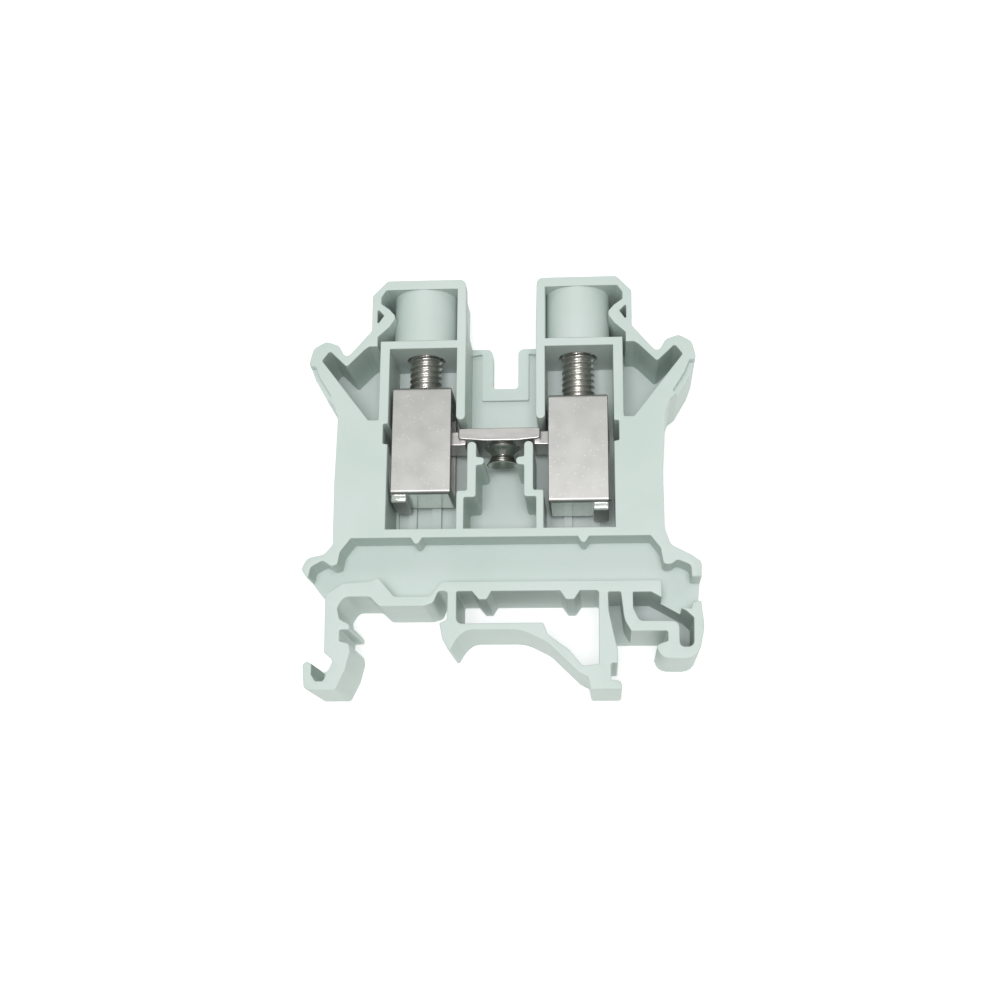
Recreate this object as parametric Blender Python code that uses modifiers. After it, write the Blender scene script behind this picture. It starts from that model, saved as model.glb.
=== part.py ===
"""Two-pole screw-clamp terminal block for 35 mm top-hat rail, modelled lying on its closed back.

X runs along the wires, +Y points from the rail towards the screw heads, and +Z points out of
the open side. Lengths below are millimetres. Heights are measured from the upper face of the
floor wall under the clamps, and block_origin moves them so that the block's bounding box is
centred on the world origin, with its back on z = 0.
"""

import math

import bmesh
import bpy
from mathutils import Matrix, Vector

MM = 0.001

# The whole block
THICKNESS = 10.2
TOP = 29.4
BOTTOM = -17.6
HALF_LENGTH = 21.8
BACK_WALL = 2.0
WALL = 1.0

# Clamps: one screw and one cage on each side
CLAMP_X = {"left": -8.95, "right": 8.62}
CLAMP_Z = 5.9
THREAD_RADIUS = 1.9
CAGE_WIDTH = 6.7
CAGE_DEPTH = 6.7
CAGE_HEIGHT = 12.2
CAGE_ROOF = 2.2
CAGE_SHEET = 1.0
TAB_DROP = 1.15
CAGE_BOTTOM = {"left": 4.55, "right": 3.4}
GAP = 0.3

# Current bar
BAR_TOP = 11.85
BAR_THICKNESS = 1.4
BAR_WIDTH = 6.4
TONGUE_WIDTH = 4.0
BAR_SHOULDER = 4.4
BAR_HALF_LENGTH = 12.1

# Chambers
CHAMBER_IN = 4.97
CHAMBER_OUT = 12.6
CHAMBER_TOP = 21.05
NOTCH_OUT = 13.15
NOTCH_LOW, NOTCH_HIGH = 9.75, 12.15
INNER_WALL_END = 12.5
TOWER_IN = 3.95
PLATE_TOP = 23.7

# Ribs that the cages' backs slide over, standing in a lowered part of the chambers' floors
RIBS = {"left": ((-11.15, -10.2), (-8.45, -7.35)), "right": ((6.8, 7.75), (9.9, 10.9))}
RIB_TOP = 2.2
RIB_END = 5.2
LOW_FLOOR = 1.4

# Screw towers
TUBE_Z = 6.5
TUBE_RADIUS = 3.65
HEAD_RADIUS = 2.45
HEAD_LOW, HEAD_HIGH = 22.3, 24.8
HEAD_BORE = HEAD_RADIUS + GAP
ACCESS_RADIUS = 2.3
TOWER_CEILING = 28.25
TOWER_FLOOR = CHAMBER_TOP + WALL - 0.05

# Wire entries
WIRE_Y = 7.6
ENTRY_RADIUS = 2.95
MOUTH_RADIUS = 3.7

# Rail foot
PANEL_FLOOR = 6.5
FOOT_BACK = 1.8
PANEL_LOW = -7.0

ARC_STEP = math.radians(20)
ROUND_SIDES = 40


# ---------------------------------------------------------------- helpers


def clear_scene():
    for obj in list(bpy.data.objects):
        bpy.data.objects.remove(obj, do_unlink=True)


def new_collection(name):
    collection = bpy.data.collections.new(name)
    bpy.context.scene.collection.children.link(collection)
    return collection


def material(name, colour, roughness, metallic):
    made = bpy.data.materials.new(name)
    made.use_nodes = True
    shader = made.node_tree.nodes["Principled BSDF"]
    shader.inputs["Base Color"].default_value = (*colour, 1.0)
    shader.inputs["Roughness"].default_value = roughness
    shader.inputs["Metallic"].default_value = metallic
    return made


def rounded(corners):
    """The outline through (x, y) or (x, y, radius) corners, with an arc at each radius."""
    points = []
    count = len(corners)
    for i, corner in enumerate(corners):
        here = Vector(corner[:2])
        radius = corner[2] if len(corner) > 2 else 0.0
        before = (Vector(corners[i - 1][:2]) - here).normalized()
        after = (Vector(corners[(i + 1) % count][:2]) - here).normalized()
        half = before.angle(after) / 2
        if radius == 0.0 or half > math.radians(88):
            points.append(here)
            continue
        centre = here + (before + after).normalized() * (radius / math.sin(half))
        start = here + before * (radius / math.tan(half)) - centre
        sweep = start.angle_signed(here + after * (radius / math.tan(half)) - centre)
        steps = max(2, round(abs(sweep) / ARC_STEP))
        for k in range(steps + 1):
            turned = Matrix.Rotation(-sweep * k / steps, 2) @ start
            points.append(centre + turned)
    return points


def mirrored(corners):
    """The same outline on the other side of x = 0."""
    return [(-corner[0], *corner[1:]) for corner in corners]


def place(obj, collection):
    for owner in list(obj.users_collection):
        owner.objects.unlink(obj)
    collection.objects.link(obj)
    obj.parent = ORIGIN


def plate(name, corners, low, high, collection, centre=(0.0, 0.0)):
    """A flat outline made solid from z = low to z = high, with its origin at centre."""
    curve = bpy.data.curves.new(name, "CURVE")
    curve.dimensions = "2D"
    curve.fill_mode = "BOTH"
    curve.extrude = (high - low) / 2 * MM
    spline = curve.splines.new("POLY")
    points = rounded(corners)
    spline.points.add(len(points) - 1)
    for point, (x, y) in zip(spline.points, points):
        point.co = ((x - centre[0]) * MM, (y - centre[1]) * MM, 0.0, 1.0)
    spline.use_cyclic_u = True
    drawn = bpy.data.objects.new(name + "_outline", curve)
    bpy.context.scene.collection.objects.link(drawn)
    graph = bpy.context.evaluated_depsgraph_get()
    mesh = bpy.data.meshes.new_from_object(drawn.evaluated_get(graph))
    bpy.data.objects.remove(drawn, do_unlink=True)
    mesh.name = name
    shape = bmesh.new()
    shape.from_mesh(mesh)
    bmesh.ops.remove_doubles(shape, verts=shape.verts, dist=1e-7)
    bmesh.ops.translate(shape, verts=shape.verts, vec=(0, 0, (low + high) / 2 * MM))
    bmesh.ops.recalc_face_normals(shape, faces=shape.faces)
    shape.to_mesh(mesh)
    shape.free()
    obj = bpy.data.objects.new(name, mesh)
    bpy.context.scene.collection.objects.link(obj)
    obj.location = (centre[0] * MM, centre[1] * MM, 0.0)
    place(obj, collection)
    return obj


def cone(name, axis, centre, radii, ends, collection, sides=ROUND_SIDES):
    """A round solid along axis X or Y, from ends[0] to ends[1], through centre = (x, y, z)."""
    middle = list(centre)
    index = "XY".index(axis)
    middle[index] = (ends[0] + ends[1]) / 2
    turn = (0, math.pi / 2, 0) if axis == "X" else (-math.pi / 2, 0, 0)
    bpy.ops.mesh.primitive_cone_add(
        vertices=sides,
        radius1=radii[0] * MM,
        radius2=radii[1] * MM,
        depth=(ends[1] - ends[0]) * MM,
        location=[value * MM for value in middle],
        rotation=turn,
    )
    obj = bpy.context.active_object
    obj.name = name
    place(obj, collection)
    return obj


def box(name, low, high, collection):
    bpy.ops.mesh.primitive_cube_add(
        size=1, location=[(a + b) / 2 * MM for a, b in zip(low, high)]
    )
    obj = bpy.context.active_object
    obj.name = name
    obj.scale = [(b - a) * MM for a, b in zip(low, high)]
    place(obj, collection)
    return obj


def arch(name, centre, radius, ends, collection):
    """A solid along Y with straight sides down to z = 1 and a half-round front."""
    x, z = centre
    profile = [(x + radius, 1.0)]
    for i in range(ROUND_SIDES // 2 + 1):
        turn = math.pi * i / (ROUND_SIDES // 2)
        profile.append((x + radius * math.cos(turn), z + radius * math.sin(turn)))
    profile.append((x - radius, 1.0))
    obj = plate(name, profile, -ends[1], -ends[0], collection)
    obj.rotation_euler = (math.pi / 2, 0.0, 0.0)
    return obj


def combine(body, tool, operation):
    """Adds tool to body as a Boolean, and keeps the tool as a hidden cutter."""
    step = body.modifiers.new(f"{operation.lower()} {tool.name}", "BOOLEAN")
    step.operation = operation
    step.solver = "EXACT"
    step.object = tool
    tool.hide_render = True
    tool.display_type = "WIRE"


def cut(body, *tools):
    for tool in tools:
        combine(body, tool, "DIFFERENCE")


def join(body, *tools):
    for tool in tools:
        combine(body, tool, "UNION")


def both_sides(name, corners, low, high):
    """Two plates among the cutters, one on each side of the middle."""
    return [
        plate(f"{name}_right", corners, low, high, TOOLS),
        plate(f"{name}_left", mirrored(corners), low, high, TOOLS),
    ]


# ---------------------------------------------------------------- housing outlines

# Right half of the upper outline: plate between the towers, tower, and wing.
SHOULDER = [
    (TOWER_IN, PLATE_TOP, 0.4),
    (TOWER_IN + 0.1, TOP, 0.7),
    (13.1, TOP, 0.5),
    (14.8, 27.6, 0.3),
    (14.75, 23.35, 0.4),
    (17.6, 20.0, 0.5),
    (18.5, 21.6, 0.6),
    (19.95, 22.15, 0.9),
    (21.4, 21.3, 0.8),
    (HALF_LENGTH + 0.03, 19.5, 0.9),
    (21.2, 17.8, 0.8),
    (19.7, 15.2, 0.6),
    (18.9, 14.6, 0.4),
    (18.3, 13.0, 1.2),
]

# Right side below the wing: cheek, ear, and the outer wall of the snap hook.
RIGHT_FLANK = [
    (17.85, 6.0, 8.0),
    (17.9, -0.2, 2.0),
    (18.5, -2.0, 0.8),
    (20.6, -3.1, 1.0),
    (21.78, -3.95, 0.7),
    (21.7, -5.5, 1.5),
    (21.5, -7.5, 2.5),
    (21.85, -11.0, 4.0),
    (21.1, -14.4, 1.6),
    (17.0, -14.35, 1.35),
    (16.75, -13.0, 0.3),
    (17.3, -12.7, 0.3),
    (17.97, -12.5, 0.2),
    (17.97, -11.42, 0.2),
]

# Leg that reaches the rail's floor, and the arched spring to the fang.
LEG = [
    (12.2, -11.42, 0.2),
    (12.65, -13.4, 1.0),
    (12.65, -14.83, 0.2),
    (11.9, -14.83, 0.2),
    (11.9, -16.65, 0.2),
    (12.85, -16.65, 0.4),
    (13.15, BOTTOM, 0.3),
    (9.7, BOTTOM, 0.3),
    (9.5, -16.3, 0.5),
    (8.5, -15.8, 0.6),
    (5.2, -12.6, 3.0),
    (2.4, -11.2, 4.0),
    (-3.6, -11.2, 1.6),
    (-4.6, -12.3, 0.8),
    (-5.3, -13.6, 0.25),
    (-6.1, -12.1, 1.5),
    (-6.45, -10.4, 0.2),
    (-5.6, -10.1, 0.3),
]

# Rail recess and the fixed foot with its slot and hooked toe.
LEFT_FOOT = [
    (-5.6, -6.95, 0.4),
    (-6.6, -6.95, 0.35),
    (-7.15, -8.25, 0.6),
    (-8.2, -8.58, 0.6),
    (-13.0, -8.58, 0.5),
    (-14.1, -7.5, 0.6),
    (-16.9, -7.5, 1.0),
    (-17.6, -8.7, 0.6),
    (-17.3, -9.95, 0.4),
    (-16.2, -10.5, 0.3),
    (-16.17, -11.08, 0.2),
    (-17.25, -11.12, 0.2),
    (-17.25, -12.32, 0.2),
    (-16.2, -12.6, 0.3),
    (-16.0, -13.4, 1.0),
    (-16.5, -15.5, 2.0),
    (-17.5, BOTTOM, 0.5),
    (-20.9, BOTTOM, 0.6),
    (-21.15, -14.6, 0.45),
    (-20.5, -14.55, 0.4),
    (-18.5, -15.85, 0.45),
    (-17.8, -14.4, 0.5),
    (-18.85, -13.55, 0.3),
    (-18.95, -7.75, 0.4),
    (-20.0, -6.75, 0.8),
    (-21.0, -5.45, 0.6),
    (-21.78, -4.4, 0.7),
    (-21.1, -3.15, 0.8),
    (-19.3, -2.75, 0.8),
    (-18.35, -1.7, 0.6),
    (-18.45, 4.9, 8.0),
]

# Everything open at the front behind the rim: both clamp chambers and the space between.
CAVITY_RIGHT = [
    (CHAMBER_OUT, 0.0),
    (CHAMBER_OUT, NOTCH_LOW),
    (NOTCH_OUT, NOTCH_LOW + 0.1, 0.15),
    (NOTCH_OUT, NOTCH_HIGH, 0.15),
    (CHAMBER_OUT, NOTCH_HIGH, 0.2),
    (CHAMBER_OUT, CHAMBER_TOP),
    (CHAMBER_IN, CHAMBER_TOP),
    (CHAMBER_IN, INNER_WALL_END, 0.5),
    (TOWER_IN, INNER_WALL_END, 0.5),
    (TOWER_IN, TOP + 1),
]

TOWER_ROOM = [
    (5.0, TOWER_FLOOR),
    (14.05, TOWER_FLOOR),
    (14.05, 22.55, 0.2),
    (12.75, 23.75, 0.3),
    (12.15, 24.65, 0.3),
    (12.15, 25.15, 0.3),
    (12.8, 25.9, 0.2),
    (13.75, 26.6, 0.2),
    (13.75, 27.4, 0.2),
    (13.2, TOWER_CEILING, 0.2),
    (5.0, TOWER_CEILING),
]

WING_ROOM = [
    (13.7, 12.6, 0.2),
    (14.85, 12.6, 0.2),
    (20.35, 19.8, 0.25),
    (19.5, 20.95, 0.25),
    (17.5, 19.0, 0.3),
    (15.5, 21.05, 0.3),
    (15.0, 21.4, 0.3),
    (14.05, 21.4),
    (14.05, 22.3),
    (13.7, 22.3),
]

TOWER_DIMPLE = [(13.4, 25.15, 0.1), (14.15, 25.95, 0.1), (14.15, 24.05, 0.1)]

# Narrow ledge along the wing's outer edge.
LEDGE_DEPTH = 1.1
WING_GROOVE = [
    (22.4, 19.1),
    (21.1, 19.15, 0.2),
    (20.5, 17.7, 0.5),
    (19.15, 15.55, 0.3),
    (20.2, 14.3),
    (22.4, 15.0),
]

CENTRE_WALL = [
    (3.98, -0.5),
    (3.98, 3.53, 0.15),
    (2.65, 3.53, 0.3),
    (2.65, 7.15, 0.15),
    (1.77, 7.25, 0.4),
    (1.77, 8.05, 0.4),
    (2.65, 8.15, 0.15),
    (2.65, 9.88, 0.45),
    (3.65, 9.88, 0.45),
    (3.65, 4.3, 0.2),
    (4.8, 4.3, 0.3),
    (4.8, -0.5),
]

# Shallow field of the foot, open past the ends of the two ear curls.
FIELD = [
    (-16.35, -WALL, 0.2),
    (-9.75, -WALL),
    (-9.1, -2.0, 0.35),
    (-8.5, -WALL),
    (8.5, -WALL),
    (9.1, -2.0, 0.35),
    (9.75, -WALL),
    (16.35, -WALL, 0.2),
    (17.4, -2.4, 0.4),
    (17.7, -4.2, 0.4),
    (18.5, -4.2, 0.4),
    (19.2, -3.7, 0.4),
    (20.6, -4.3, 0.5),
    (20.66, -5.6, 0.1),
    (22.8, -5.6),
    (22.8, -8.1),
    (20.7, -8.3, 0.3),
    (20.5, -9.0),
    (17.4, -9.0),
    (17.4, -5.9, 0.2),
    (-6.3, -5.9, 0.3),
    (-7.6, -7.5, 0.4),
    (-11.4, -7.5, 0.4),
    (-13.2, -5.4, 0.3),
    (-14.2, -5.8, 0.2),
    (-17.1, -6.0, 0.3),
    (-18.8, -7.2, 0.3),
    (-19.0, -8.2),
    (-22.8, -8.2),
    (-22.8, -5.3),
    (-20.9, -5.3, 0.1),
    (-20.7, -4.2, 0.5),
    (-19.4, -3.45, 0.4),
    (-18.4, -4.1, 0.4),
    (-17.75, -3.9, 0.3),
    (-17.5, -2.5, 0.4),
]

BACK_FIELD = [
    (-15.6, -1.3, 0.5),
    (15.6, -1.3, 0.5),
    (16.4, -2.6, 0.5),
    (16.4, -5.7, 0.5),
    (-12.9, -5.7, 0.5),
    (-15.0, -4.4, 0.5),
    (-16.5, -4.4, 0.5),
]

WEB_GAP = [
    (-4.63, PANEL_LOW, 0.2),
    (-2.95, PANEL_LOW),
    (-2.2, -7.9, 0.25),
    (-1.35, -7.9, 0.25),
    (-0.85, PANEL_LOW),
    (6.55, PANEL_LOW),
    (7.2, -7.95, 0.25),
    (8.05, -7.95, 0.25),
    (8.7, PANEL_LOW),
    (10.7, PANEL_LOW, 0.3),
    (10.65, -14.9, 0.2),
    (8.9, -15.1, 0.6),
    (7.5, -13.4, 1.5),
    (5.2, -11.7, 0.5),
    (4.75, -10.45, 0.3),
    (-4.6, -10.5, 0.6),
]

LEG_GAP = [
    (11.7, -7.15, 0.2),
    (13.05, -7.15, 0.2),
    (13.4, -10.2, 2.0),
    (14.1, -11.42, 0.5),
    (14.6, -12.5),
    (12.45, -12.5),
    (12.2, -11.42),
    (11.75, -9.2, 2.0),
]

HOOK_ROOM = [
    (14.35, -7.2, 0.1),
    (16.3, -7.2, 0.1),
    (20.0, -9.3, 0.3),
    (20.75, -10.0, 0.3),
    (20.68, -13.1, 0.6),
    (19.2, -13.1, 0.5),
    (19.2, -10.35, 0.7),
    (15.0, -10.3, 0.6),
    (14.35, -8.9, 0.5),
]

TOE_POCKET = [
    (-20.15, -14.4),
    (-20.15, -15.9, 0.2),
    (-19.7, -16.65, 0.3),
    (-18.85, -16.65, 0.3),
    (-18.55, -16.0, 0.1),
    (-18.9, -15.2),
]

BRIDGE_SLOT = [
    (-2.7, TOP),
    (-2.6, PLATE_TOP + 0.03),
    (-1.5, PLATE_TOP + 0.02, 0.7),
    (-1.5, 18.75, 0.4),
    (1.5, 18.75, 0.4),
    (1.5, PLATE_TOP + 0.025, 0.7),
    (2.6, PLATE_TOP + 0.035),
    (2.7, TOP),
]

# The towers' sides that face the bridge slot stand back behind their rims.
SIDE_STEP = [(3.7, PLATE_TOP + 0.1), (4.5, PLATE_TOP + 0.1), (4.5, TOP + 1), (3.7, TOP + 1)]
STEP_FRONT = 8.3

# Raised edging round the bridge slot and along the top of the plate.
SLOT_EDGING = [
    (TOWER_IN + 0.3, PLATE_TOP),
    (TOWER_IN + 0.3, 22.9),
    (2.75, 23.1, 0.1),
    (2.75, 17.3, 0.2),
    (-2.75, 17.3, 0.2),
    (-2.75, 23.1, 0.1),
    (-TOWER_IN - 0.3, 22.9),
    (-TOWER_IN - 0.3, PLATE_TOP),
]


def full_outline():
    """The block's silhouette, clockwise from the left end of the plate between the towers."""
    left_shoulder = list(reversed(mirrored(SHOULDER)))
    return left_shoulder + SHOULDER + RIGHT_FLANK + LEG + LEFT_FOOT


def clamp_side(side):
    return 1 if side == "right" else -1


def make_housing():
    body = plate("housing", full_outline(), 0.0, THICKNESS, PARTS)
    front = THICKNESS + 1.0
    left_cavity = list(reversed(mirrored(CAVITY_RIGHT)))
    cut(body, plate("cavity", CAVITY_RIGHT + left_cavity, BACK_WALL, front, TOOLS))
    cut(body, *both_sides("tower_room", TOWER_ROOM, BACK_WALL, front))
    cut(body, *both_sides("wing_room", WING_ROOM, BACK_WALL, front))
    cut(body, *both_sides("tower_dimple", TOWER_DIMPLE, BACK_WALL, front))
    cut(body, *both_sides("wing_groove", WING_GROOVE, THICKNESS - LEDGE_DEPTH, front))
    cut(body, plate("field", FIELD, PANEL_FLOOR, front, TOOLS))
    cut(body, plate("back_field", BACK_FIELD, -1.0, PANEL_FLOOR - 1.6, TOOLS))
    cut(body, plate("web_gap", WEB_GAP, -1.0, front, TOOLS))
    cut(body, plate("leg_gap", LEG_GAP, FOOT_BACK, front, TOOLS))
    cut(body, plate("hook_room", HOOK_ROOM, FOOT_BACK, front, TOOLS))
    cut(body, plate("toe_pocket", TOE_POCKET, 3.0, front, TOOLS))
    join(body, plate("slot_edging", SLOT_EDGING, 1.0, BACK_WALL + 0.5, TOOLS))
    cut(body, plate("bridge_slot", BRIDGE_SLOT, -1.0, front, TOOLS))
    cut(body, *both_sides("side_step", SIDE_STEP, -1.0, STEP_FRONT))
    join(body, *both_sides("centre_wall", CENTRE_WALL, 1.0, THICKNESS))
    for side, x in CLAMP_X.items():
        add_clamp_seat(body, side, x)
    return body


def add_clamp_seat(body, side, x):
    """The arched screw tube, its bores, the wire entry, and two ribs on the chamber's floor."""
    way = clamp_side(side)
    axis = (x, 0.0, CLAMP_Z)
    ends = (TOWER_FLOOR - 0.2, TOWER_CEILING + 0.2)
    join(body, arch(f"tube_{side}", (x, TUBE_Z), TUBE_RADIUS, ends, TOOLS))
    bores = (
        ("shank_bore", THREAD_RADIUS + GAP, CHAMBER_TOP - 1.0, TOWER_FLOOR + 0.5),
        ("head_bore", HEAD_BORE, TOWER_FLOOR, TOWER_CEILING),
        ("access_bore", ACCESS_RADIUS, TOWER_CEILING - 0.5, TOP + 1.0),
    )
    for name, radius, low, high in bores:
        tool = cone(f"{name}_{side}", "Y", axis, (radius, radius), (low, high), TOOLS)
        cut(body, tool)
    radii = (ENTRY_RADIUS, MOUTH_RADIUS)
    ends = (CHAMBER_OUT - 0.3, 18.6)
    if way < 0:
        radii, ends = radii[::-1], (-ends[1], -ends[0])
    cut(body, cone(f"entry_{side}", "X", (0.0, WIRE_Y, CLAMP_Z), radii, ends, TOOLS))
    x_low, x_high = sorted((way * (CHAMBER_IN + 0.3), way * (CHAMBER_OUT - 0.3)))
    low_floor = (x_low, 0.25, LOW_FLOOR), (x_high, RIB_END, BACK_WALL + 0.5)
    cut(body, box(f"low_floor_{side}", *low_floor, TOOLS))
    for number, (x_low, x_high) in enumerate(RIBS[side]):
        corners = (x_low, -0.3, 1.0), (x_high, RIB_END + 0.3, RIB_TOP)
        join(body, box(f"rib_{side}_{number}", *corners, TOOLS))


# ---------------------------------------------------------------- metal parts


def make_bar():
    """Current bar: a wide middle with a drawn neck for a bridge screw, and two tongues."""
    tongue_low = BAR_TOP - BAR_THICKNESS
    z_low, z_high = CLAMP_Z - BAR_WIDTH / 2, CLAMP_Z + BAR_WIDTH / 2
    middle = [
        (BAR_SHOULDER, BAR_TOP, 0.15),
        (-BAR_SHOULDER, BAR_TOP, 0.15),
        (-BAR_SHOULDER, tongue_low + 0.1, 0.2),
        (0.0, tongue_low - 0.25, 40.0),
        (BAR_SHOULDER, tongue_low + 0.1, 0.2),
    ]
    bar = plate("current_bar", middle, z_low, z_high, PARTS)
    tongues = box(
        "bar_tongues",
        (-BAR_HALF_LENGTH, tongue_low, CLAMP_Z - TONGUE_WIDTH / 2),
        (BAR_HALF_LENGTH, BAR_TOP - 0.02, CLAMP_Z + TONGUE_WIDTH / 2),
        TOOLS,
    )
    join(bar, tongues)
    steps = (
        ("neck_flare", 1.3, 1.8, 9.9, tongue_low + 0.3),
        ("neck", 1.1, 1.3, 7.95, 9.95),
    )
    for name, low_radius, high_radius, low, high in steps:
        neck = cone(
            name, "Y", (0.0, 0.0, CLAMP_Z), (low_radius, high_radius), (low, high), TOOLS, 24
        )
        join(bar, neck)
    hole = cone("bridge_hole", "Y", (0, 0, CLAMP_Z), (0.75, 0.75), (7.0, 13.0), TOOLS, 24)
    cut(bar, hole)
    return bar


def make_cage(side):
    """Clamp cage: a folded sleeve round the bar and the wire, with a threaded double roof."""
    way = clamp_side(side)
    x = CLAMP_X[side]
    low = CAGE_BOTTOM[side]
    high = low + CAGE_HEIGHT
    half = CAGE_WIDTH / 2
    z_low, z_high = CLAMP_Z - CAGE_DEPTH / 2, CLAMP_Z + CAGE_DEPTH / 2
    outline = [
        (x - half, low, 0.3),
        (x + half, low, 0.3),
        (x + half, high, 0.3),
        (x - half, high, 0.3),
    ]
    cage = plate(f"{side}_clamp_cage", outline, z_low, z_high, PARTS, (x, low))
    window = box(
        f"window_{side}",
        (x - half - 1, low + CAGE_SHEET, z_low + CAGE_SHEET - 0.1),
        (x + half + 1, high - CAGE_ROOF, z_high - CAGE_SHEET + 0.1),
        TOOLS,
    )
    cut(cage, window)
    bore = THREAD_RADIUS + GAP
    thread = cone(
        f"nut_{side}", "Y", (x, 0, CLAMP_Z), (bore, bore), (high - 4, high + 1), TOOLS
    )
    cut(cage, thread)
    edge = x + way * half
    x_low, x_high = sorted((edge - way * 1.8, edge - way * 0.05))
    tab = box(
        f"tab_{side}",
        (x_low, low - TAB_DROP, z_low + 0.7),
        (x_high, low + 0.6, z_high - 0.5),
        TOOLS,
    )
    join(cage, tab)
    return cage


def make_screw(side):
    """Clamp screw: a slotted cylinder head above a plain cylinder for the thread."""
    x = CLAMP_X[side]
    tip = BAR_TOP + GAP
    profile = (
        (0.0, HEAD_HIGH),
        (HEAD_RADIUS - 0.2, HEAD_HIGH),
        (HEAD_RADIUS, HEAD_HIGH - 0.2),
        (HEAD_RADIUS, HEAD_LOW),
        (THREAD_RADIUS, HEAD_LOW),
        (THREAD_RADIUS, tip + 0.5),
        (THREAD_RADIUS - 0.5, tip),
        (0.0, tip),
    )
    mesh = bpy.data.meshes.new(f"{side}_clamp_screw")
    shape = bmesh.new()
    line = [shape.verts.new((r * MM, (y - tip) * MM, 0.0)) for r, y in profile]
    for first, second in zip(line, line[1:]):
        shape.edges.new((first, second))
    shape.to_mesh(mesh)
    shape.free()
    screw = bpy.data.objects.new(f"{side}_clamp_screw", mesh)
    bpy.context.scene.collection.objects.link(screw)
    screw.location = (x * MM, tip * MM, CLAMP_Z * MM)
    place(screw, PARTS)
    turn = screw.modifiers.new("turned profile", "SCREW")
    turn.axis = "Y"
    turn.steps = 32
    turn.render_steps = 32
    turn.use_merge_vertices = True
    turn.merge_threshold = 1e-6
    turn.use_normal_calculate = True
    slot = box(
        f"driver_slot_{side}",
        (x - HEAD_RADIUS - 1, HEAD_HIGH - 1.1, CLAMP_Z - 0.45),
        (x + HEAD_RADIUS + 1, HEAD_HIGH + 1, CLAMP_Z + 0.45),
        TOOLS,
    )
    cut(screw, slot)
    return screw


# ---------------------------------------------------------------- assembly

clear_scene()
PARTS = new_collection("rail_terminal_block")
TOOLS = new_collection("cutters")
ORIGIN = bpy.data.objects.new("block_origin", None)
ORIGIN.location = (0.0, -(TOP + BOTTOM) / 2 * MM, 0.0)
PARTS.objects.link(ORIGIN)

PLASTIC = material("grey_green_polyamide", (0.60, 0.69, 0.64), 0.55, 0.0)
PLATED_STEEL = material("zinc_plated_steel", (0.55, 0.54, 0.52), 0.38, 1.0)
BAR_METAL = material("tinned_copper", (0.64, 0.63, 0.60), 0.35, 1.0)
SCREW_METAL = material("bright_steel", (0.62, 0.61, 0.58), 0.25, 1.0)

make_housing().data.materials.append(PLASTIC)
make_bar().data.materials.append(BAR_METAL)
for clamp in CLAMP_X:
    make_cage(clamp).data.materials.append(PLATED_STEEL)
    make_screw(clamp).data.materials.append(SCREW_METAL)

TOOLS.hide_render = True
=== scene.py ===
"""Looks for the rail terminal block: moulded housing, plated clamp cages, screws and current bar.

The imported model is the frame. Everything here is in metres in that frame: X along the wires,
+Y towards the screw heads, +Z out of the open side, with the closed back on z = 0.
"""

import math

import bmesh
import bpy
from mathutils import Matrix, Vector


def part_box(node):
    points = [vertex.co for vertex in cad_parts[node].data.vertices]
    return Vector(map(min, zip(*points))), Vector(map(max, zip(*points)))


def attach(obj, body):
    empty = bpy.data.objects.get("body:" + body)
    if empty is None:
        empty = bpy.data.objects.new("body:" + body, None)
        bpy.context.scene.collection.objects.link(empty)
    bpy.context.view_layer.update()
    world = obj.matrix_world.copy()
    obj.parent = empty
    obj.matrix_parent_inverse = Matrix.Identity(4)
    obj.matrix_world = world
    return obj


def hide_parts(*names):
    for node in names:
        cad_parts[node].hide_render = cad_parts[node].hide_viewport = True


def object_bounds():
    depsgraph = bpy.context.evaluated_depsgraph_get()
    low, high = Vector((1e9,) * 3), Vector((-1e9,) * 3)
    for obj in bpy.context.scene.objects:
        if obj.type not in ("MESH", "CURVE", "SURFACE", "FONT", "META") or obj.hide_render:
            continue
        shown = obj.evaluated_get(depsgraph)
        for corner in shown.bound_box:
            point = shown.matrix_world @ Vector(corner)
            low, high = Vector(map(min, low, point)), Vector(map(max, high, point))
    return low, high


MM = 0.001

# Camera, in millimetres from the origin of the block, looking down at the open side
CAMERA_AT = (11.138, -42.488, 157.873)
CAMERA_RIGHT = (0.99729, 0.00658, -0.07324)
CAMERA_FORWARD = (-0.07244, 0.25912, -0.96312)
CAMERA_LENS = 50.4
CAMERA_SENSOR = 36.0

# Rounding of moulded and stamped edges
MOULD_EDGE = 0.12
SMOOTH_ANGLE = 28.0

# Clamp cages
CAGE_WALL = 0.9
CAGE_BEND = 0.45
CAGE_FLOOR = 1.0
CAGE_ROOF = 2.2
CAGE_CORNER = 0.10
CAGE_ROUND = 0.38
CAGE_HEIGHT = 12.52
TAB_WIDTH = 1.75
TAB_BACK_INSET = 0.75
TAB_FRONT_INSET = 0.52
TAB_EDGE = 0.14
SLEEVE_INNER_BEND = 0.25
ROOF_INNER_BEND = 0.2
SLEEVE_MOUTH_EDGE = 0.08
LAYER_GAP = 0.02
LAYER_EDGE = 0.12
ROOF_BORE_GAP = 0.10
ROOF_BORE_SINK = 0.40

# Clamp screws
PITCH = 0.70
THREAD_DEPTH = 0.38
THREAD_RADIUS = 1.87
HEAD_RADIUS = 2.45
HEAD_HEIGHT = 2.5
SLOT_WIDTH = 0.9
SLOT_DEPTH = 1.1
HEAD_ROUND = 0.3
TIP_CHAMFER = 0.55
UNDERCUT = 0.6
ROWS_PER_TURN = 10
SCREW_SMOOTH_ANGLE = 50.0
TURN_STEPS = 40

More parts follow.
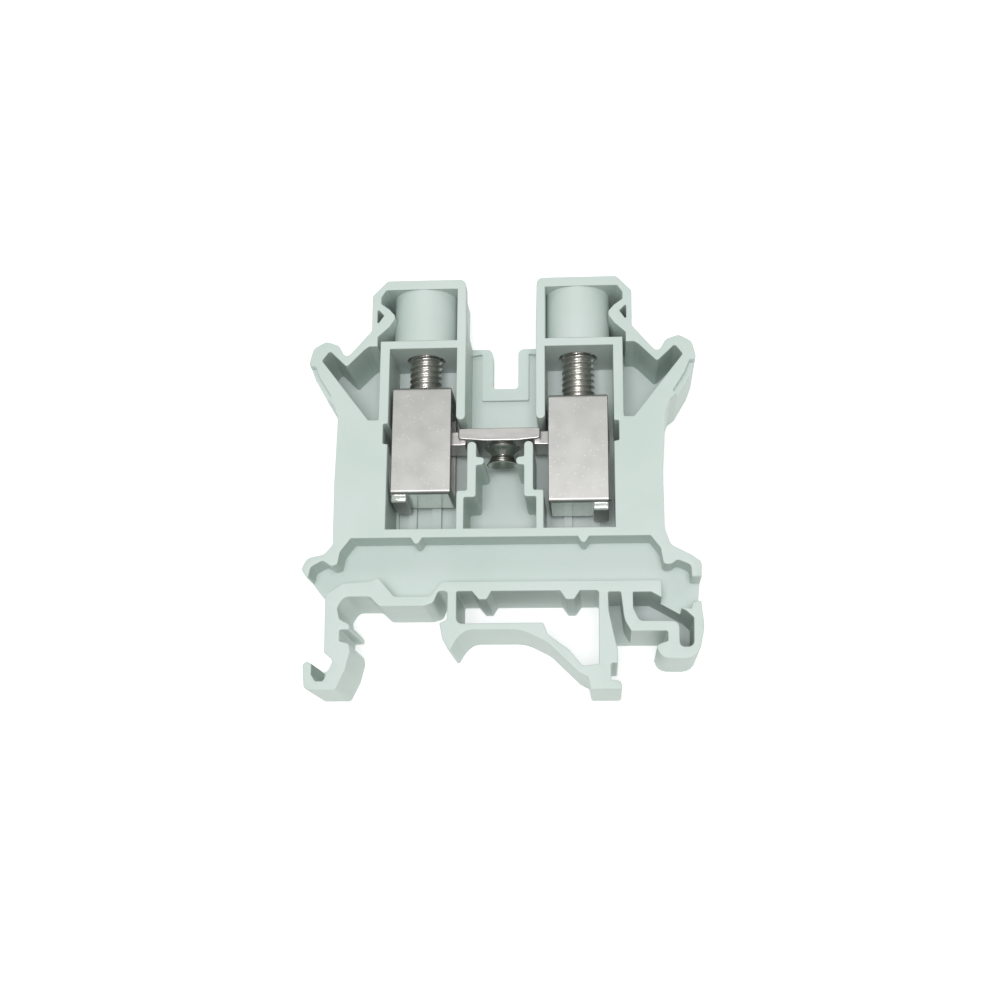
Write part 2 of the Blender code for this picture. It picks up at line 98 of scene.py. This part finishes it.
# Current bar
BAR_LEFT = -4.8
BAR_RIGHT = 4.4
BAR_THICKNESS = 1.38
TONGUE_THICKNESS = 1.70
TONGUE_HALF = 2.0
TONGUE_EDGE = 0.15
BAR_EDGE = 0.16
BAR_HOLE = 0.75
BAR_HOLE_SINK = 0.35
FLANGE_RADIUS = 2.05
WAIST_RADIUS = 1.20
LIP_RADIUS = 1.80
EYELET_RIDGES = 3


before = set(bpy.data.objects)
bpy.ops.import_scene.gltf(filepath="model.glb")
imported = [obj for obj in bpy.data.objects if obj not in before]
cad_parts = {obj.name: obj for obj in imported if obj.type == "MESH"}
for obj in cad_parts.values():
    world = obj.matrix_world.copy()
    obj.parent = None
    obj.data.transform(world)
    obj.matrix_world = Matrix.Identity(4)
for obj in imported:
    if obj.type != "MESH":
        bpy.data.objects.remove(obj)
cad_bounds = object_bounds()


# ---------------------------------------------------------------- camera, floor and light


def make_camera():
    data = bpy.data.cameras.new("camera")
    data.lens = CAMERA_LENS
    data.sensor_width = CAMERA_SENSOR
    data.clip_start = 0.005
    data.clip_end = 5.0
    camera = bpy.data.objects.new("camera", data)
    back = -Vector(CAMERA_FORWARD).normalized()
    right = Vector(CAMERA_RIGHT).normalized()
    up = back.cross(right).normalized()
    right = up.cross(back)
    turn = Matrix((right, up, back)).transposed()
    camera.matrix_world = Matrix.Translation(Vector(CAMERA_AT) * MM) @ turn.to_4x4()
    bpy.context.scene.collection.objects.link(camera)
    bpy.context.scene.camera = camera


def area_light(name, at, towards, size, power, colour=(1.0, 1.0, 1.0)):
    data = bpy.data.lights.new(name, "AREA")
    data.shape = "RECTANGLE"
    data.size, data.size_y = size
    data.energy = power
    data.color = colour
    light = bpy.data.objects.new(name, data)
    light.location = at
    aim = Vector(towards) - Vector(at)
    light.rotation_euler = aim.to_track_quat("-Z", "Y").to_euler()
    bpy.context.scene.collection.objects.link(light)


def make_light():
    world = bpy.data.worlds.new("studio")
    world.use_nodes = True
    shade = world.node_tree.nodes["Background"]
    shade.inputs["Color"].default_value = (0.91, 1.0, 0.91, 1.0)
    shade.inputs["Strength"].default_value = 0.37
    bpy.context.scene.world = world
    at = (0, 0, 0)
    area_light("front", (0.005, -0.06, 0.50), at, (0.20, 0.20), 1.62, (1.0, 0.975, 1.02))
    area_light("back", (-0.04, 0.30, 0.34), at, (0.24, 0.14), 0.24)


def make_floor():
    low = cad_bounds[0][2]
    bpy.ops.mesh.primitive_plane_add(size=2.4, location=(0, 0, low - 0.00002))
    floor = bpy.context.active_object
    floor.name = "studio_floor"
    paper = bpy.data.materials.new("white_paper")
    paper.use_nodes = True
    shader = paper.node_tree.nodes["Principled BSDF"]
    shader.inputs["Base Color"].default_value = (0.74, 0.74, 0.74, 1.0)
    shader.inputs["Roughness"].default_value = 0.9
    shader.inputs["Specular IOR Level"].default_value = 0.1
    shader.inputs["Emission Color"].default_value = (1.0, 1.0, 1.0, 1.0)
    shader.inputs["Emission Strength"].default_value = 0.44
    floor.data.materials.append(paper)


# ---------------------------------------------------------------- materials


def new_material(name):
    made = bpy.data.materials.new(name)
    made.use_nodes = True
    tree = made.node_tree
    return made, tree, tree.nodes["Principled BSDF"]


def noise(tree, scale, detail, where=None, roughness=0.5):
    node = tree.nodes.new("ShaderNodeTexNoise")
    node.inputs["Scale"].default_value = scale
    node.inputs["Detail"].default_value = detail
    node.inputs["Roughness"].default_value = roughness
    if where is not None:
        tree.links.new(where, node.inputs["Vector"])
    return node.outputs["Fac"]


def object_place(tree):
    return tree.nodes.new("ShaderNodeTexCoord").outputs["Object"]


def ramp(tree, value, stops):
    node = tree.nodes.new("ShaderNodeValToRGB")
    while len(node.color_ramp.elements) < len(stops):
        node.color_ramp.elements.new(0.5)
    for element, (position, colour) in zip(node.color_ramp.elements, stops):
        element.position = position
        element.color = (*colour, 1.0)
    tree.links.new(value, node.inputs["Fac"])
    return node.outputs["Color"]


def spread(tree, value, low, high):
    node = tree.nodes.new("ShaderNodeMapRange")
    node.inputs["To Min"].default_value = low
    node.inputs["To Max"].default_value = high
    tree.links.new(value, node.inputs["Value"])
    return node.outputs["Result"]


def bump(tree, shader, heights):
    """Stacks bumps from (height, strength, distance in metres) entries."""
    normal = None
    for height, strength, distance in heights:
        node = tree.nodes.new("ShaderNodeBump")
        node.inputs["Strength"].default_value = strength
        node.inputs["Distance"].default_value = distance
        tree.links.new(height, node.inputs["Height"])
        if normal is not None:
            tree.links.new(normal, node.inputs["Normal"])
        normal = node.outputs["Normal"]
    tree.links.new(normal, shader.inputs["Normal"])


def polyamide():
    made, tree, shader = new_material("grey_green_polyamide")
    at = object_place(tree)
    cloud = noise(tree, 90.0, 3.0, at)
    grain = noise(tree, 5200.0, 2.0, at)
    tint = ramp(
        tree,
        cloud,
        ((0.30, (0.555, 0.640, 0.600)), (0.55, (0.590, 0.665, 0.630)), (0.75, (0.615, 0.680, 0.655))),
    )
    tree.links.new(tint, shader.inputs["Base Color"])
    tree.links.new(spread(tree, grain, 0.40, 0.58), shader.inputs["Roughness"])
    shader.inputs["Specular IOR Level"].default_value = 0.42
    shader.inputs["Subsurface Weight"].default_value = 0.12
    shader.inputs["Subsurface Radius"].default_value = (0.6, 1.0, 0.8)
    shader.inputs["Subsurface Scale"].default_value = 0.0006
    bump(tree, shader, ((grain, 0.10, 0.00002), (cloud, 0.05, 0.0001)))
    return made


def specks(tree, at, scale, radius, share):
    """1 in small scattered dots and 0 between them; share is how many of the cells have one."""
    cells = tree.nodes.new("ShaderNodeTexVoronoi")
    cells.inputs["Scale"].default_value = scale
    tree.links.new(at, cells.inputs["Vector"])
    near = tree.nodes.new("ShaderNodeMath")
    near.operation = "LESS_THAN"
    near.inputs[1].default_value = radius
    tree.links.new(cells.outputs["Distance"], near.inputs[0])
    chance = tree.nodes.new("ShaderNodeSeparateColor")
    tree.links.new(cells.outputs["Color"], chance.inputs["Color"])
    kept = tree.nodes.new("ShaderNodeMath")
    kept.operation = "LESS_THAN"
    kept.inputs[1].default_value = share
    tree.links.new(chance.outputs["Red"], kept.inputs[0])
    both = tree.nodes.new("ShaderNodeMath")
    both.operation = "MULTIPLY"
    tree.links.new(near.outputs[0], both.inputs[0])
    tree.links.new(kept.outputs[0], both.inputs[1])
    return both.outputs[0]


def mixed(tree, factor, first, second):
    """Blends a colour output with a plain colour by a factor."""
    node = tree.nodes.new("ShaderNodeMix")
    node.data_type = "RGBA"
    tree.links.new(factor, node.inputs["Factor"])
    tree.links.new(first, node.inputs["A"])
    node.inputs["B"].default_value = (*second, 1.0)
    return node.outputs["Result"]


def plated_steel():
    """Zinc plate: an even satin grey, faintly clouded, with tiny raised specks whose lighter colour
    is painted glint.
    """
    made, tree, shader = new_material("zinc_plated_steel")
    at = object_place(tree)
    cloud = noise(tree, 420.0, 4.0, at)
    fine = noise(tree, 4200.0, 3.0, at)
    dots = specks(tree, at, 1900.0, 0.15, 0.9)
    tint = ramp(
        tree,
        cloud,
        ((0.30, (0.370, 0.367, 0.350)), (0.50, (0.400, 0.397, 0.378)), (0.72, (0.432, 0.430, 0.410))),
    )
    # The specks' lighter colour is painted glint; their bump below is real relief.
    tree.links.new(mixed(tree, dots, tint, (0.50, 0.50, 0.485)), shader.inputs["Base Color"])
    shader.inputs["Metallic"].default_value = 1.0
    tree.links.new(spread(tree, fine, 0.36, 0.50), shader.inputs["Roughness"])
    bump(tree, shader, ((fine, 0.14, 0.00002), (dots, 0.14, 0.00002)))
    return made


def steel_painted_reflection():
    """The strip's smoother side, the sleeve's lower face and the tab's front, with its base colour
    painted about twice as light as the cage's: a painted reflection of the moulding on the lower face
    and a painted highlight on the tab.
    """
    made, tree, shader = new_material("steel_painted_reflection")
    at = object_place(tree)
    fine = noise(tree, 2600.0, 3.0, at)
    # Base colour painted light: a painted reflection and highlight, not the steel's own tone.
    tint = ramp(tree, fine, ((0.3, (0.72, 0.76, 0.71)), (0.7, (0.80, 0.84, 0.79))))
    tree.links.new(tint, shader.inputs["Base Color"])
    shader.inputs["Metallic"].default_value = 0.6
    tree.links.new(spread(tree, fine, 0.08, 0.16), shader.inputs["Roughness"])
    bump(tree, shader, ((fine, 0.06, 0.00001),))
    return made


def bright_steel():
    """The screws' plated steel, a little glossier than the cages'."""
    made, tree, shader = new_material("bright_steel")
    at = object_place(tree)
    fine = noise(tree, 2500.0, 3.0, at)
    tint = ramp(tree, fine, ((0.3, (0.62, 0.60, 0.57)), (0.7, (0.74, 0.72, 0.69))))
    tree.links.new(tint, shader.inputs["Base Color"])
    shader.inputs["Metallic"].default_value = 1.0
    tree.links.new(spread(tree, fine, 0.24, 0.36), shader.inputs["Roughness"])
    bump(tree, shader, ((fine, 0.08, 0.00002),))
    return made


def drawn_tin():
    """The polished outside of the collar, dark but for narrow glints."""
    made, tree, shader = new_material("drawn_tin")
    shader.inputs["Base Color"].default_value = (0.50, 0.50, 0.47, 1.0)
    shader.inputs["Metallic"].default_value = 1.0
    streaks = noise(tree, 3000.0, 2.0, object_place(tree))
    tree.links.new(spread(tree, streaks, 0.14, 0.22), shader.inputs["Roughness"])
    return made


def tinned_copper():
    """Tin plate drawn along the bar, so its brushing runs along X."""
    made, tree, shader = new_material("tinned_copper")
    at = object_place(tree)
    stretch = tree.nodes.new("ShaderNodeMapping")
    stretch.inputs["Scale"].default_value = (0.12, 1.0, 1.0)
    tree.links.new(at, stretch.inputs["Vector"])
    brushed = noise(tree, 3200.0, 3.0, stretch.outputs["Vector"])
    cloud = noise(tree, 300.0, 2.0, at)
    tint = ramp(tree, cloud, ((0.3, (0.42, 0.41, 0.395)), (0.7, (0.49, 0.48, 0.46))))
    tree.links.new(tint, shader.inputs["Base Color"])
    shader.inputs["Metallic"].default_value = 1.0
    tree.links.new(spread(tree, brushed, 0.26, 0.42), shader.inputs["Roughness"])
    bump(tree, shader, ((brushed, 0.12, 0.00002),))
    return made


# ---------------------------------------------------------------- pieces


def link(name, mesh, finish, body, replaced):
    obj = bpy.data.objects.new(name, mesh)
    bpy.context.scene.collection.objects.link(obj)
    mesh.materials.clear()
    mesh.materials.append(finish)
    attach(obj, body)
    if replaced:
        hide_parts(replaced)
    return obj


def copy_of(node):
    """A node's faces as a bmesh, with the corners that its faces share merged."""
    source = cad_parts[node].data
    shape = bmesh.new()
    corners = [shape.verts.new(vert.co) for vert in source.vertices]
    for polygon in source.polygons:
        shape.faces.new([corners[i] for i in polygon.vertices])
    bmesh.ops.remove_doubles(shape, verts=shape.verts, dist=2e-7)
    return shape


def boundary_loops(region):
    """The closed loops of vertices round a list of faces, with the faces on their left."""
    inside = set(region)
    following = {}
    for face in region:
        for loop in face.loops:
            if loop.link_loop_radial_next.face not in inside:
                following.setdefault(loop.vert, []).append(loop.link_loop_next.vert)
    loops = []
    while following:
        start = next(iter(following))
        ring = [start]
        while True:
            choices = following[ring[-1]]
            step = choices.pop()
            if not choices:
                del following[ring[-1]]
            if step is start:
                break
            ring.append(step)
        loops.append(ring)
    return loops


def inward(ring, i, facing):
    """How far a corner of the ring moves, per unit of inset, towards the side on its left."""
    before = (ring[i] - ring[i - 1]).normalized()
    after = (ring[(i + 1) % len(ring)] - ring[i]).normalized()
    sides = [Vector((-d.y, d.x)) * facing for d in (before, after)]
    return (sides[0] + sides[1]) / max(1.0 + sides[0].dot(sides[1]), 0.35)


def round_plane(shape, level, facing, radius, steps=3):
    """Rounds every edge round the flat faces that lie on z = level and look along facing."""
    region = [
        face
        for face in shape.faces
        if face.normal.z * facing > 0.99
        and all(abs(vert.co.z - level) < 2e-6 for vert in face.verts)
    ]
    loops = boundary_loops(region)
    flats = [[vert.co.xy for vert in ring] for ring in loops]
    moves = [[inward(flat, i, facing) for i in range(len(flat))] for flat in flats]
    starts = [[vert.co.copy() for vert in ring] for ring in loops]
    bmesh.ops.delete(shape, geom=region, context="FACES_KEEP_BOUNDARY")
    last_edges = []
    for ring, move, start in zip(loops, moves, starts):
        for vert in ring:
            vert.co.z = level - facing * radius
        previous = ring
        for k in range(1, steps + 1):
            turn = math.pi / 2 * k / steps
            inset = radius * (1 - math.cos(turn))
            height = level - facing * radius * (1 - math.sin(turn))
            layer = [
                shape.verts.new((*(at.xy + way * inset), height))
                for at, way in zip(start, move)
            ]
            for i in range(len(ring)):
                j = (i + 1) % len(ring)
                shape.faces.new((previous[i], previous[j], layer[j], layer[i]))
            previous = layer
        last_edges += [
            shape.edges.get((previous[i - 1], previous[i])) for i in range(len(previous))
        ]
    bmesh.ops.triangle_fill(
        shape, use_beauty=True, use_dissolve=False, edges=last_edges, normal=(0, 0, facing)
    )


def finished(shape, name):
    mesh = bpy.data.meshes.new(name)
    bmesh.ops.recalc_face_normals(shape, faces=shape.faces)
    shape.to_mesh(mesh)
    shape.free()
    mesh.shade_smooth()
    mesh.set_sharp_from_angle(angle=math.radians(SMOOTH_ANGLE))
    return mesh


def steady_shading(obj):
    """Lets the large flat faces set the shading, so that it stays even right up to an edge."""
    steady = obj.modifiers.new("weighted normals", "WEIGHTED_NORMAL")
    steady.mode = "FACE_AREA"
    steady.weight = 90
    steady.keep_sharp = True


def make_housing(finish):
    shape = copy_of("housing")
    low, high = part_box("housing")
    round_plane(shape, high.z, 1, MOULD_EDGE * MM)
    round_plane(shape, low.z, -1, MOULD_EDGE * MM)
    bmesh.ops.dissolve_degenerate(shape, dist=2e-6, edges=shape.edges)
    mesh = finished(shape, "moulded_housing")
    steady_shading(link("moulded_housing", mesh, finish, "block", "housing"))


def arc_corners(corners, steps=5):
    """The outline through (u, v, radius) corners, anticlockwise, with an arc at each."""
    points = []
    for i, (u, v, radius) in enumerate(corners):
        here = Vector((u, v))
        before = (Vector(corners[i - 1][:2]) - here).normalized()
        after = (Vector(corners[(i + 1) % len(corners)][:2]) - here).normalized()
        half = before.angle(after) / 2
        reach = radius / math.tan(half)
        centre = here + (before + after).normalized() * (radius / math.sin(half))
        first = here + before * reach - centre
        last = here + after * reach - centre
        for k in range(steps + 1):
            points.append(centre + first.slerp(last, k / steps).normalized() * radius)
    return points


def rectangle(u_low, v_low, u_high, v_high, radii):
    """A rectangle's corners, anticlockwise from the lowest, with their radii."""
    places = ((u_low, v_low), (u_high, v_low), (u_high, v_high), (u_low, v_high))
    return arc_corners([(u, v, radius) for (u, v), radius in zip(places, radii)])


def extruded(shape, outline, low, high, edge, turned, hole=None, hole_edge=0.0, steps=4):
    """An outline, or a ring round a hole, made solid from w = low to high with rounded edges.

    turned(u, v, w) gives the corner's place in the scene, all in millimetres.
    """
    rings = [(outline, edge, 1)]
    if hole is not None:
        rings.append((hole, hole_edge, -1))
    ends = []
    for points, radius, way in rings:
        moves = [inward(points, i, way) for i in range(len(points))]
        levels = []
        for k in range(steps + 1):
            turn = math.pi / 2 * k / steps
            levels.append((radius * (1 - math.sin(turn)), low + radius * (1 - math.cos(turn))))
        for inset, w in reversed(list(levels)):
            levels.append((inset, low + high - w))
        layers = []
        for inset, w in levels:
            layer = []
            for point, move in zip(points, moves):
                at = point + move * inset
                layer.append(shape.verts.new(turned(at.x, at.y, w) * MM))
            layers.append(layer)
        for first, second in zip(layers, layers[1:]):
            for i in range(len(first)):
                shape.faces.new((first[i - 1], first[i], second[i], second[i - 1]))
        ends.append((layers[0], layers[-1]))
    for side in (0, 1):
        if hole is None:
            shape.faces.new(ends[0][side])
            continue
        outer, inner = ends[0][side], ends[1][side]
        for i in range(len(outer)):
            shape.faces.new((outer[i - 1], outer[i], inner[i], inner[i - 1]))


def revolved(shape, profile, centre, sides=TURN_STEPS):
    """A closed (radius, height) profile turned about the Y axis through centre, (x, z)."""
    rings = []
    for radius, y in profile:
        ring = []
        for i in range(sides):
            turn = 2 * math.pi * i / sides
            x = centre[0] + radius * math.cos(turn)
            z = centre[1] + radius * math.sin(turn)
            ring.append(shape.verts.new((x * MM, y * MM, z * MM)))
        rings.append(ring)
    for first, second in zip(rings, rings[1:]):
        for i in range(sides):
            shape.faces.new((first[i - 1], first[i], second[i], second[i - 1]))
    return rings


def combined(mesh, steps, name):
    """The mesh after each (bmesh, operation) of the steps: UNION, DIFFERENCE or INTERSECT."""
    body = bpy.data.objects.new("blank", mesh)
    bpy.context.scene.collection.objects.link(body)
    tools = []
    for shape, operation in steps:
        tool_mesh = bpy.data.meshes.new("tool")
        bmesh.ops.recalc_face_normals(shape, faces=shape.faces)
        shape.to_mesh(tool_mesh)
        shape.free()
        tool = bpy.data.objects.new("tool", tool_mesh)
        bpy.context.scene.collection.objects.link(tool)
        tools.append(tool)
        step = body.modifiers.new(operation.lower(), "BOOLEAN")
        step.operation = operation
        step.solver = "EXACT"
        step.object = tool
    graph = bpy.context.evaluated_depsgraph_get()
    result = bpy.data.meshes.new_from_object(body.evaluated_get(graph))
    result.name = name
    for obj in (body, *tools):
        bpy.data.objects.remove(obj, do_unlink=True)
    result.shade_smooth()
    result.set_sharp_from_angle(angle=math.radians(SMOOTH_ANGLE))
    return result


def make_cage(side, finish, painted_reflection_finish):
    """A strip folded into a sleeve, with a second layer under its roof and a curled tab."""
    node = f"{side}_clamp_cage"
    low, high = (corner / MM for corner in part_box(node))
    centre_x, centre_z = (low.x + high.x) / 2, (low.z + high.z) / 2
    top = high.y
    bottom = top - CAGE_HEIGHT
    way = 1 if side == "right" else -1

    def along_x(u, v, w):
        return Vector((w, v, u))

    shape = bmesh.new()
    outer = rectangle(low.z, bottom, high.z, top, (CAGE_BEND,) * 4)
    inner = rectangle(
        low.z + CAGE_WALL,
        bottom + CAGE_FLOOR,
        high.z - CAGE_WALL,
        top - CAGE_ROOF / 2,
        (SLEEVE_INNER_BEND,) * 2 + (ROOF_INNER_BEND,) * 2,
    )
    extruded(shape, outer, low.x, high.x, CAGE_CORNER, along_x, inner, SLEEVE_MOUTH_EDGE)
    second = rectangle(
        low.z + CAGE_WALL + LAYER_GAP,
        top - CAGE_ROOF,
        high.z - CAGE_WALL - LAYER_GAP,
        top - CAGE_ROOF / 2 - LAYER_GAP,
        (ROOF_INNER_BEND,) * 4,
    )
    extruded(shape, second, low.x + 0.05, high.x - 0.05, LAYER_EDGE, along_x)
    edge = centre_x + way * (high.x - low.x) / 2
    tab_ends = sorted((edge - way * 0.05, edge - way * TAB_WIDTH))
    tab = rectangle(
        low.z + TAB_BACK_INSET,
        low.y + 0.03,
        high.z - TAB_FRONT_INSET,
        bottom + 0.5,
        (0.30, 0.35, 0.2, 0.2),
    )
    curl = bmesh.new()
    extruded(curl, tab, *tab_ends, TAB_EDGE, along_x)
    sleeve = finished(shape, "folded_sleeve")
    corners = bmesh.new()
    front = rectangle(
        low.x - 0.003, bottom - 0.003, high.x + 0.003, top + 0.003, (CAGE_ROUND,) * 4
    )
    extruded(corners, front, low.z - 0.5, high.z + 0.5, 0.01, lambda u, v, w: Vector((u, v, w)))
    cutters = bmesh.new()
    bore = revolved(
        cutters,
        (
            (THREAD_RADIUS + ROOF_BORE_GAP, top - CAGE_ROOF - 0.5),
            (THREAD_RADIUS + ROOF_BORE_GAP, top - 0.25),
            (THREAD_RADIUS + ROOF_BORE_SINK, top + 0.05),
            (THREAD_RADIUS + ROOF_BORE_SINK, top + 0.5),
        ),
        (centre_x, centre_z),
    )
    cutters.faces.new(bore[0])
    cutters.faces.new(bore[-1])
    steps = ((corners, "INTERSECT"), (curl, "UNION"), (cutters, "DIFFERENCE"))
    mesh = combined(sleeve, steps, f"{side}_folded_cage")
    cage = link(f"{side}_folded_cage", mesh, finish, f"{side}_cage", node)
    # The tab's front and the sleeve's lower face get the steel with the painted reflection and
    # highlight.
    mesh.materials.append(painted_reflection_finish)
    for polygon in mesh.polygons:
        under = polygon.center.y / MM - bottom
        tab_front = under < -0.03 and polygon.normal.z > 0.3
        if tab_front or (polygon.normal.y < -0.95 and abs(under) < 0.1):
            polygon.material_index = 1
    steady_shading(cage)


def thread_radius(y, turn):
    """The radius of a right-handed thread at a height and an angle about the axis."""
    phase = (y / PITCH + turn / (2 * math.pi)) % 1.0
    rise = 1.0 - abs(2.0 * phase - 1.0)
    lift = min(max((rise - 0.22) / 0.62, 0.0), 1.0)
    return THREAD_RADIUS - THREAD_DEPTH * (1.0 - lift)


def make_screw(side, finish):
    """A slotted cylinder head over a helical thread that runs out just below it."""
    node = f"{side}_clamp_screw"
    low, high = (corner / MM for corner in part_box(node))
    x, z = (low.x + high.x) / 2, (low.z + high.z) / 2
    neck = high.y - HEAD_HEIGHT
    head = bmesh.new()
    ends = []
    for k in range(5):
        turn = math.pi / 2 * k / 4
        radius = HEAD_RADIUS - HEAD_ROUND + HEAD_ROUND * math.cos(turn)
        ends.append((radius, high.y - HEAD_ROUND + HEAD_ROUND * math.sin(turn)))
    profile = [(HEAD_RADIUS - 0.1, neck + 0.02), (HEAD_RADIUS - 0.02, neck + 0.10)] + ends
    rings = revolved(head, profile, (x, z))
    head.faces.new(rings[0])
    head.faces.new(rings[-1])
    blank = finished(head, "head_blank")
    slot = bmesh.new()
    reach = HEAD_RADIUS + 1.0
    extruded(
        slot,
        rectangle(
            high.y - SLOT_DEPTH, z - SLOT_WIDTH / 2, high.y + 1.0, z + SLOT_WIDTH / 2, (0.04,) * 4
        ),
        x - reach,
        x + reach,
        0.01,
        lambda u, v, w: Vector((w, u, v)),
    )
    slotted = combined(blank, ((slot, "DIFFERENCE"),), "slotted_head")
    shape = bmesh.new()
    shape.from_mesh(slotted)
    rows = int((neck + 0.3 - low.y) / (PITCH / ROWS_PER_TURN)) + 1
    layers = []
    for row in range(rows):
        y = low.y + (neck + 0.3 - low.y) * row / (rows - 1)
        tip = THREAD_RADIUS - TIP_CHAMFER + (y - low.y)
        layer = []
        for i in range(TURN_STEPS):
            turn = 2 * math.pi * i / TURN_STEPS
            radius = min(thread_radius(y, turn), tip)
            if y > neck - UNDERCUT:
                radius = THREAD_RADIUS - THREAD_DEPTH
            spot = (x + radius * math.cos(turn), y, z + radius * math.sin(turn))
            layer.append(shape.verts.new(Vector(spot) * MM))
        layers.append(layer)
    for first, second in zip(layers, layers[1:]):
        for i in range(TURN_STEPS):
            shape.faces.new((first[i - 1], first[i], second[i], second[i - 1]))
    shape.faces.new(layers[0])
    shape.faces.new(layers[-1])
    bmesh.ops.recalc_face_normals(shape, faces=shape.faces)
    mesh = bpy.data.meshes.new(f"{side}_slotted_screw")
    shape.to_mesh(mesh)
    shape.free()
    mesh.shade_smooth()
    mesh.set_sharp_from_angle(angle=math.radians(SCREW_SMOOTH_ANGLE))
    link(f"{side}_slotted_screw", mesh, finish, f"{side}_screw", node)


def make_bar(finish, polished):
    """The bar's wide middle, its two tongues, and the eyelet drawn down from it."""
    low, high = (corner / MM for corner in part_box("current_bar"))
    z = (low.z + high.z) / 2
    under = high.y - BAR_THICKNESS

    def along_z(u, v, w):
        return Vector((u, v, w))

    block = bmesh.new()
    middle = [(BAR_LEFT, high.y - 0.01, 0.25), (BAR_LEFT, under + 0.08, 0.35)]
    middle += [(-1.8, under - 0.17, 3.0), (1.8, under - 0.17, 3.0)]
    middle += [(BAR_RIGHT, under + 0.08, 0.35), (BAR_RIGHT, high.y - 0.01, 0.25)]
    extruded(block, arc_corners(middle), low.z, high.z, BAR_EDGE, along_z)
    cutter = bmesh.new()
    hole = (
        (BAR_HOLE, under - 1.0),
        (BAR_HOLE, high.y - 0.25),
        (BAR_HOLE + BAR_HOLE_SINK, high.y + 0.1),
        (BAR_HOLE + BAR_HOLE_SINK, high.y + 0.4),
    )
    rings = revolved(cutter, hole, (0.0, z), 24)
    cutter.faces.new(rings[0])
    cutter.faces.new(rings[-1])
    solid = finished(block, "solid_middle")
    drilled = combined(solid, ((cutter, "DIFFERENCE"),), "drilled_middle")
    shape = bmesh.new()
    shape.from_mesh(drilled)
    tongue_low = high.y - TONGUE_THICKNESS
    for root, tip in ((BAR_LEFT + 0.8, low.x + 0.01), (BAR_RIGHT - 0.8, high.x - 0.01)):
        x_low, x_high = sorted((root, tip))
        tongue = rectangle(x_low, tongue_low, x_high, high.y - 0.04, (0.2, 0.2, 0.2, 0.2))
        extruded(shape, tongue, z - TONGUE_HALF, z + TONGUE_HALF, TONGUE_EDGE, along_z)
    foot = low.y + 0.35
    waist = under - 1.15
    eyelet = [
        (FLANGE_RADIUS - 0.05, under + 0.25),
        (FLANGE_RADIUS, under - 0.20),
        (FLANGE_RADIUS - 0.06, under - 0.34),
        (FLANGE_RADIUS - 0.35, under - 0.55),
        (WAIST_RADIUS + 0.15, under - 0.85),
        (WAIST_RADIUS, waist),
    ]
    step = (waist - foot - 0.12) / EYELET_RIDGES
    flare = (LIP_RADIUS - 0.15 - WAIST_RADIUS) / EYELET_RIDGES
    for k in range(EYELET_RIDGES):
        y = waist - step * k
        radius = WAIST_RADIUS + flare * (k + 1)
        eyelet += [(radius, y - step * 0.40), (radius + 0.02, y - step * 0.70)]
        eyelet += [(radius - 0.10, y - step)]
    eyelet += [(LIP_RADIUS, foot + 0.08), (LIP_RADIUS - 0.06, foot), (LIP_RADIUS - 0.18, foot)]
    eyelet += [(BAR_HOLE + 0.10, foot + 0.75), (BAR_HOLE, foot + 1.0), (BAR_HOLE, under + 0.25)]
    rings = revolved(shape, eyelet, (0.0, z))
    for i in range(TURN_STEPS):
        shape.faces.new((rings[-1][i - 1], rings[-1][i], rings[0][i], rings[0][i - 1]))
    mesh = finished(shape, "drawn_current_bar")
    bar = link("drawn_current_bar", mesh, finish, "block", "current_bar")
    mesh.materials.append(polished)
    for polygon in mesh.polygons:
        off_axis = math.hypot(polygon.center.x, polygon.center.z - z * MM) / MM
        if off_axis < FLANGE_RADIUS and polygon.center.y / MM < under - 0.18:
            polygon.material_index = 1
    steady_shading(bar)


# ---------------------------------------------------------------- assembly

make_camera()
make_light()
make_floor()
PLASTIC = polyamide()
PLATED = plated_steel()
PAINTED_REFLECTION_STEEL = steel_painted_reflection()
STEEL = bright_steel()
TIN = tinned_copper()

make_housing(PLASTIC)
make_bar(TIN, drawn_tin())
for side in ("left", "right"):
    make_cage(side, PLATED, PAINTED_REFLECTION_STEEL)
    make_screw(side, STEEL)

bpy.context.scene.view_settings.view_transform = "Standard"
